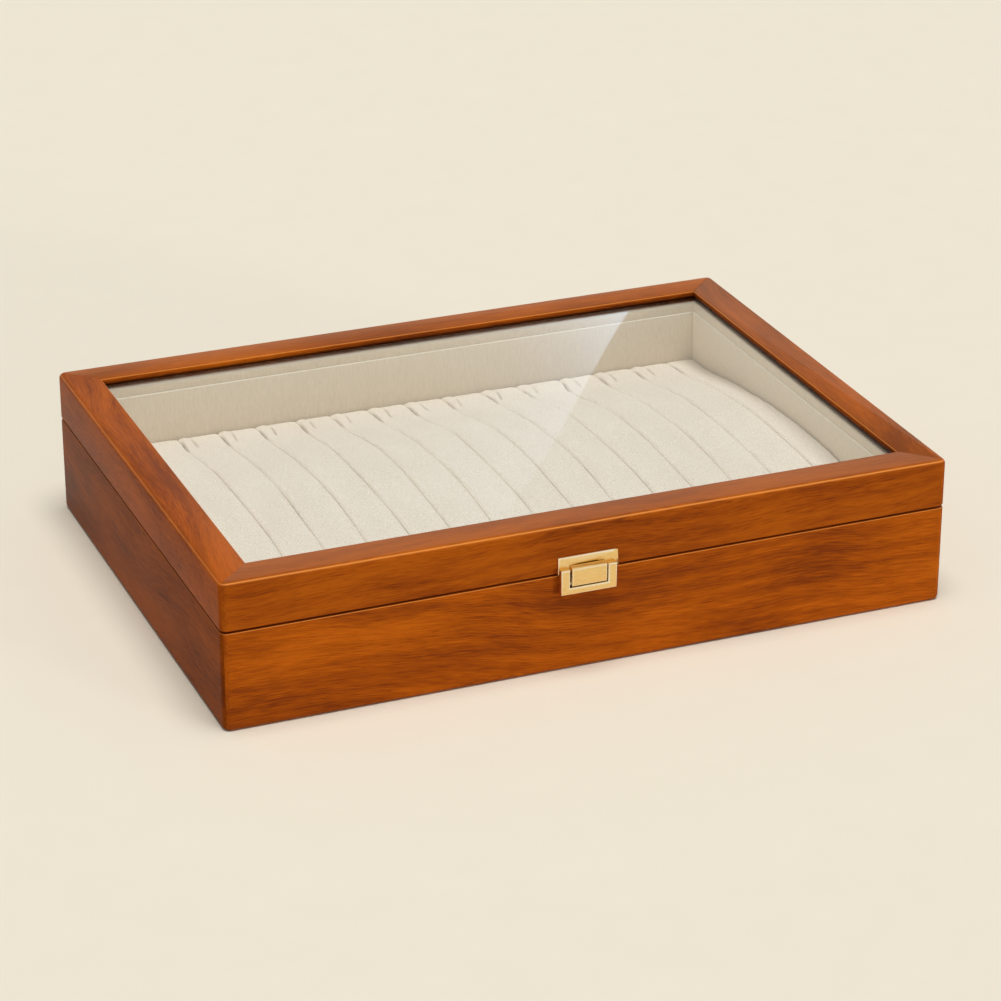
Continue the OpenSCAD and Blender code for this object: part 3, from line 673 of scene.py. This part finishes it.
def roll_blank(name, width):
    """A roll before it is filled: crowned from front to back, with rounded shoulders"""
    height = CREST - ROLL_LOW
    # The cover needs close points where it bends: at its edges, and in the gathers at the back
    xs = stations(-width / 2, width / 2, np.array([0, 0.15, 0.35, 0.6, 0.9, 1.3]) * MM, 0.5 * MM)
    ys = stations(-ROLL_END, ROLL_END, np.array([0, 0.3, 0.7, 1.2, 1.8]) * MM, 2.2 * MM,
                  26 * MM, 0.7 * MM)
    zs = stations(0, height, np.array([0, 0.2, 0.5, 0.9, 1.3]) * MM, 5 * MM)
    piece = gridded_bar(name, xs, ys, zs)
    points = get_points(piece)
    radii = np.array([SHOULDER, END_ROUND, SHOULDER])
    half = np.array([width / 2, ROLL_END, height / 2])
    centre = np.array([0, 0, height / 2])
    inner = np.clip(points - centre, radii - half, half - radii)
    away = (points - centre - inner) / radii
    reach = np.maximum(np.linalg.norm(away, axis=1), 1)[:, None]
    points = centre + inner + away / reach * radii
    share = points[:, 2] / height
    points[:, 2] = ROLL_LOW + share * (crown(points[:, 1]) - SEAM_SINK - ROLL_LOW)
    set_points(piece, points)
    return piece


def fill_roll(piece):
    """Swells a roll's cover with its padding, held over the lower part of its height"""
    before = get_points(piece)
    held = piece.vertex_groups.new(name="held")
    low = np.where(before[:, 2] < ROLL_LOW + HELD_SHARE * (crown(before[:, 1]) - ROLL_LOW))[0]
    held.add([int(i) for i in low], 1.0, "REPLACE")
    padding = piece.modifiers.new("padding", "CLOTH")
    padding.settings.use_pressure = True
    padding.settings.uniform_pressure_force = 14
    padding.settings.effector_weights.gravity = 0
    padding.settings.tension_stiffness = 5
    padding.settings.compression_stiffness = 5
    padding.settings.shrink_min = -0.01
    padding.settings.vertex_group_mass = held.name
    padding.collision_settings.use_collision = False
    for frame_number in range(1, PADDING_FRAMES + 1):
        bpy.context.scene.frame_set(frame_number)
    shown = piece.evaluated_get(bpy.context.evaluated_depsgraph_get())
    after = np.array([v.co for v in shown.data.vertices])
    piece.modifiers.remove(padding)
    piece.vertex_groups.clear()
    bpy.context.scene.frame_set(1)
    # Its neighbours and the boards keep its sides and ends where they are
    risen = np.clip(after[:, 2] - before[:, 2], 0, SWELL_CAP)
    before[:, 2] += risen
    set_points(piece, before)


# Where the cover is gathered at the back, each seam ends in a puckered tab between two creases.
# For each seam from the second on, in mm: how far to the right of the seam's straight line its
# crease ends at the back, and how far where the gathers begin; the same two for the tab's other
# crease (None where it has none); and how deep they are, as a share of CREASE_DEEP.
GATHERS = (
    (1.1, -0.9, 6.7, 5.1, 0.9), (0.8, -0.1, 7.1, 4.9, 0.8), (-0.4, -1.5, 6.4, 4.3, 1.0),
    (1.0, -0.7, 6.5, 4.5, 0.8), (-1.7, -2.3, 5.1, 3.3, 0.6), (-2.8, -3.2, 5.1, 3.0, 0.9),
    (-3.0, -4.2, 4.0, 2.6, 0.8), (-3.4, -4.1, 3.1, 0.6, 0.7), (-3.0, -2.5, 4.5, 1.0, 1.0),
    (-3.2, -3.5, 4.2, 0.7, 0.6), (0.2, -3.1, 6.7, 4.4, 0.7), (-1.4, -2.7, 5.2, 3.3, 0.8),
    (-0.8, -2.4, 6.7, 4.5, 0.9), (-0.8, -1.2, None, None, 0.9))
# Spans along the rolls, in mm behind the middle of the box: where a seam swings over to its
# gathers, where the gathers run, where the cover rises to its hem, and where the seam's crease
# and the tab beside it open and close
SWINGS = (40, 85)
GATHERED = (85, 106)
HEM = (78, 109)
SEAM_OPENS = (83, 88)
SEAM_CLOSES = (98, 106)
TAB_OPENS = (87, 92)
TAB_CLOSES = (100, 106)
# How deep and wide a crease is (mm), how much of it closes again at the hem, and how deep the
# tab's own crease is beside the seam's
CREASE_DEEP = 1.2
CREASE_WIDE = 0.5
CLOSING = 0.9
TAB_CREASE = 0.7
# How far the tabs and the hem stand up (mm), and how dark the painted shade in the creases of seam and tab
# is
TAB_SWELL = 0.45
HEM_SWELL = 1.9
SEAM_DARK = 0.75
TAB_DARK = 0.65
# The first roll stands up at its back end (mm, and where)
FIRST_RISE = 0.8
FIRST_RISES = (90, 107)
# The last roll falls away towards the side board, turns from that to rising towards the front,
# and comes level again at the hem. Its seam leans out at the front.
LAST_FALL = 1.4
LAST_RISE = 2.2
LAST_TURNS = (45, -65)
LAST_LEVELS = (92, 108)
LAST_LEAN = 2.5
LAST_LEANS = (60, -75)
# How dark the painted shade on the last roll's side towards the side board is
LAST_DARK = 0.7
# How far the seams and the covers wander, in mm
WANDER = 0.35
# The foot of a roll stays as it is, and above this share of its height it is shaped in full
SHAPED_SHARE = 0.85


def ease(low, high, value):
    """Goes smoothly from 0 at low to 1 at high"""
    share = np.clip((value - low) / (high - low), 0, 1)
    return share * share * (3 - 2 * share)


def seam_bend(i, y):
    """How far (mm) the seam to the right of roll i wanders sideways at y"""
    if not 2 <= i < ROLLS:
        return 0 * y
    back, meet = GATHERS[i - 2][:2]
    sway = meet * ease(*SWINGS, y) + (back - meet) * ease(*GATHERED, y)
    if i == ROLLS - 1:
        sway = sway + LAST_LEAN * ease(*LAST_LEANS, y)
    # A slow wave about 107 mm long, which starts elsewhere on each seam
    return sway + WANDER * np.sin(y / 17 + 2.1 * i)


def crease(away, share):
    """The part of a crease that shows at a distance (mm) from its line"""
    return share * np.exp(-(away / CREASE_WIDE) ** 2)


def gather(points, number):
    """Bends a roll with its seams and puckers its cover (mm). Also gives, for each point, how
    much shade is painted there."""
    x, y, z = points.T / MM
    left, right = seam(number - 1) / MM, seam(number) / MM
    share = (x - left) / (right - left)
    bent = x + (1 - share) * seam_bend(number - 1, y) + share * seam_bend(number, y)
    height = (z - ROLL_LOW / MM) / (crown(y * MM) / MM - ROLL_LOW / MM)
    top = ease(HELD_SHARE, SHAPED_SHARE, height)
    lift = HEM_SWELL * ease(*HEM, y)
    painted_shade = 0 * y
    for i in (number - 1, number):
        if not 2 <= i < ROLLS:
            continue
        back, meet, far_back, far_meet, deep = GATHERS[i - 2]
        # The crease of the seam itself
        opened = ease(*SEAM_OPENS, y) * (1 - CLOSING * ease(*SEAM_CLOSES, y))
        away = bent - (seam(i) / MM + seam_bend(i, y))
        fold = crease(away, deep * opened)
        lift -= CREASE_DEEP * fold
        # Painted shade along the crease
        painted_shade += SEAM_DARK * fold
        if far_back is not None:
            # The tab to its right, and the crease that ends it
            tab = far_meet - meet + (far_back - far_meet - back + meet) * ease(*GATHERED, y)
            grown = ease(*TAB_OPENS, y)
            opened = grown * (1 - CLOSING * ease(*TAB_CLOSES, y))
            fold = crease(away - tab, deep * opened)
            lift -= TAB_CREASE * CREASE_DEEP * fold
            # Painted shade along the tab's crease
            painted_shade += TAB_DARK * fold
            inside = np.clip(away / np.maximum(tab, 1), 0, 1)
            lift += TAB_SWELL * grown * np.sin(np.pi * inside) ** 2
    if number == ROLLS:
        fall = LAST_FALL - (LAST_FALL + LAST_RISE) * ease(*LAST_TURNS, y)
        lift -= fall * (1 - ease(*LAST_LEVELS, y)) * ease(0.3, 1, share)
        # Painted shade on its side towards the side board, most of all at the back
        painted_shade += LAST_DARK * ease(0, 1, share) * (0.45 + 0.55 * ease(20, 90, y))
    if number == 1:
        lift += FIRST_RISE * ease(*FIRST_RISES, y)
    # Soft waves about 20 mm wide and 36 mm long, other ones on each roll
    seeds = np.stack([x * 0.05 + 3.7 * number, y * 0.028, 0 * x], axis=1)
    lift += WANDER * np.array([noise.noise(seed) for seed in seeds])
    return np.stack([bent, y, z + top * lift], axis=1) * MM, top * painted_shade


widths = {"left": seam(1) - seam(0), "inner": seam(2) - seam(1), "right": seam(ROLLS) - seam(ROLLS - 1)}
blanks = {}
for place, width in widths.items():
    blanks[place] = roll_blank(f"roll_blank_{place}", width - SEAM_GAP)
    fill_roll(blanks[place])

for number in range(1, ROLLS + 1):
    place = {1: "left", ROLLS: "right"}.get(number, "inner")
    roll = copy_of(blanks[place], f"padded_roll_{number:02d}")
    points = get_points(roll)
    points[:, 0] += (seam(number - 1) + seam(number)) / 2
    points, painted_shade = gather(points, number)
    set_points(roll, points)
    roll.data.attributes.new("painted_shade", "FLOAT", "POINT").data.foreach_set("value", painted_shade)
    make_active(roll)
    bpy.ops.object.shade_smooth()
    dress(roll, SUEDE, "roll_fabric", "base", f"ring_roll_{number:02d}")
for blank in blanks.values():
    bpy.data.objects.remove(blank)

# ---------------------------------------------------------------- brass clasp
# Rounding of the outlines of the front faces, and of the crisp edges that are left
CLASP_R = 0.85 * MM
CLASP_SOFT = 0.08 * MM
# Each piece and its body, the middle of its width (mm), and how much of its width and depth
# is kept
CLASP = (("clasp_lid_plate", "lid", -5.4, 0.975, 1), ("clasp_housing", "base", -5.5, 0.98, 0.85),
         ("clasp_button", "clasp_button", -5.3, 0.96, 0.85))
for node, body, middle, width, depth in CLASP:
    piece = copy_of(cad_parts[node], "brass_" + node)
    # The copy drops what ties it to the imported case, and its flat faces are joined
    piece.parent = None
    for key in list(piece.keys()):
        del piece[key]
    make_active(piece)
    bpy.ops.object.mode_set(mode="EDIT")
    bpy.ops.mesh.select_all(action="SELECT")
    bpy.ops.mesh.remove_doubles(threshold=1e-6)
    bpy.ops.mesh.dissolve_limited(angle_limit=math.radians(1))
    bpy.ops.object.mode_set(mode="OBJECT")
    points = get_points(piece)
    points[:, 0] = middle * MM + (points[:, 0] - (points[:, 0].min() + points[:, 0].max()) / 2) * width
    points[:, 1] = -HALF_D + (points[:, 1] + HALF_D) * depth
    set_points(piece, points)
    front = points[:, 1].min() + NEAR
    round_edges(piece, lambda v: v.y < front, CLASP_R, 2)
    mark_rounds(piece, upright=1, sideways=1, narrow=3, sharp=85)
    soften(piece, CLASP_SOFT, sharp=50)
    dress(piece, BRASS, "brass", body, node)

# ---------------------------------------------------------------- case parts kept as they are
# These keep the shapes of their solids and only get a material
KEPT = {
    "glass_pane": GLASS,
    "base_bottom_panel": PLYWOOD, "tray_board": PLYWOOD, "tray_bearer_left": PLYWOOD,
    "tray_bearer_middle": PLYWOOD, "tray_bearer_right": PLYWOOD, "base_felt": FELT,
    "clasp_button_pin": STEEL, "clasp_spring": STEEL, "clasp_screws": STEEL,
    "hinge_base_screws": BRASS, "hinge_lid_screws": BRASS,
}
for side in ("left", "right"):
    for part in ("base_leaf", "lid_leaf", "pin"):
        KEPT[f"hinge_{side}_{part}"] = BRASS
for node, material in KEPT.items():
    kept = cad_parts[node]
    kept.data.materials.clear()
    kept.data.materials.append(material)

# ---------------------------------------------------------------- floor and studio light
# A seamless sheet of cream paper, matt, with a faint mottle
PAPER = "#EEE6D3"
material, tree, output = new_material("cream_paper")
grain = add(tree, "TexNoise", {"Vector": add(tree, "TexCoord").outputs["Object"], "Scale": 40.0})
colour = add(tree, "ValToRGB", {0: grain.outputs[0]}, [(0.3, PAPER), (0.7, "#EDE5D2")])
shader = add(tree, "BsdfDiffuse", {"Color": colour.outputs[0]})
tree.links.new(shader.outputs[0], output.inputs[0])
bpy.ops.object.select_all(action="DESELECT")
bpy.ops.mesh.primitive_plane_add(size=12, location=(0, 0, 0))
floor = bpy.context.object
floor.name = "floor"
floor.data.materials.append(material)

# The room lights the floor from all round, and is seen as paper of the floor's own colour. Each
# lamp has the direction it hangs in, the angle it fills (degrees) and, like the room, its share
# of the floor's light.
DOME_SHARE = 0.225
LAMPS = (("ceiling_softbox", (0.0, -0.12, 1.0), 34, 0.745),
         ("front_softbox", (0.60, -1.0, 0.06), 16, 0.028))
world = bpy.data.worlds.new("studio")
bpy.context.scene.world = world
world.use_nodes = True
world.node_tree.nodes.clear()
tree = world.node_tree
rays = add(tree, "LightPath").outputs
seen = add(tree, "Math", {0: rays["Is Camera Ray"], 1: rays["Is Glossy Ray"]}, operation="MAXIMUM")
seen = add(tree, "Math", {0: seen.outputs[0], 1: rays["Is Transmission Ray"]}, operation="MAXIMUM")
dome = add(tree, "Background", {"Color": (1, 1, 1, 1), "Strength": DOME_SHARE}).outputs[0]
wall = add(tree, "Background", {"Color": to_linear(PAPER), "Strength": 1.0}).outputs[0]
both = add(tree, "MixShader", {0: seen.outputs[0], 1: dome, 2: wall})
tree.links.new(both.outputs[0], add(tree, "OutputWorld").inputs[0])

for name, towards, angle, share in LAMPS:
    towards = Vector(towards).normalized()
    lamp = bpy.data.lights.new(name, "SUN")
    lamp.energy = math.pi * share / towards.z
    lamp.angle = math.radians(angle)
    hung = bpy.data.objects.new(name, lamp)
    bpy.context.scene.collection.objects.link(hung)
    hung.rotation_mode = "QUATERNION"
    hung.rotation_quaternion = towards.to_track_quat("Z", "Y")
    hung.visible_glossy = False

# A window blind, only seen in the glass: brightest along its right edge
bpy.ops.mesh.primitive_plane_add(size=1, location=(0, 0, 0))
blind = bpy.context.object
blind.name = "window_blind"
BLIND_Y = 1.3
# X and z along its right edge, from below
BLIND_EDGE = ((0.669, 0.566), (0.659, 0.583), (0.647, 0.599), (0.582, 0.707), (0.537, 0.766),
              (0.520, 0.790))
BLIND_WIDTH = 0.42
# How much dimmer the edge is at its upper end, and how steeply the glow falls off to the left
BLIND_FADE = 0.42
BLIND_FALL = 5.5
mesh = bmesh.new()
shade = mesh.verts.layers.float_color.new("glow")
rows = []
for x, z in BLIND_EDGE:
    rows.append([mesh.verts.new((x - BLIND_WIDTH, BLIND_Y, z)), mesh.verts.new((x, BLIND_Y, z))])
    rows[-1][0][shade] = (0, 0, 0, 1)
    bright = 1 - BLIND_FADE * (z - BLIND_EDGE[0][1]) / (BLIND_EDGE[-1][1] - BLIND_EDGE[0][1])
    rows[-1][1][shade] = (bright, bright, bright, 1)
for low, high in zip(rows, rows[1:]):
    mesh.faces.new((low[0], low[1], high[1], high[0]))
mesh.to_mesh(blind.data)
mesh.free()
material, tree, output = new_material("window_blind")
glow = add(tree, "VertexColor", layer_name="glow").outputs["Color"]
glow = add(tree, "Math", {0: glow, 1: BLIND_FALL}, operation="POWER").outputs[0]
clear = add(tree, "BsdfTransparent").outputs[0]
light = add(tree, "Emission", {"Color": to_linear("#E1F0FF"), "Strength": 2.75}).outputs[0]
shader = add(tree, "MixShader", {0: glow, 1: clear, 2: light})
tree.links.new(shader.outputs[0], output.inputs[0])
blind.data.materials.append(material)
blind.visible_camera = False
blind.visible_diffuse = False
blind.visible_shadow = False
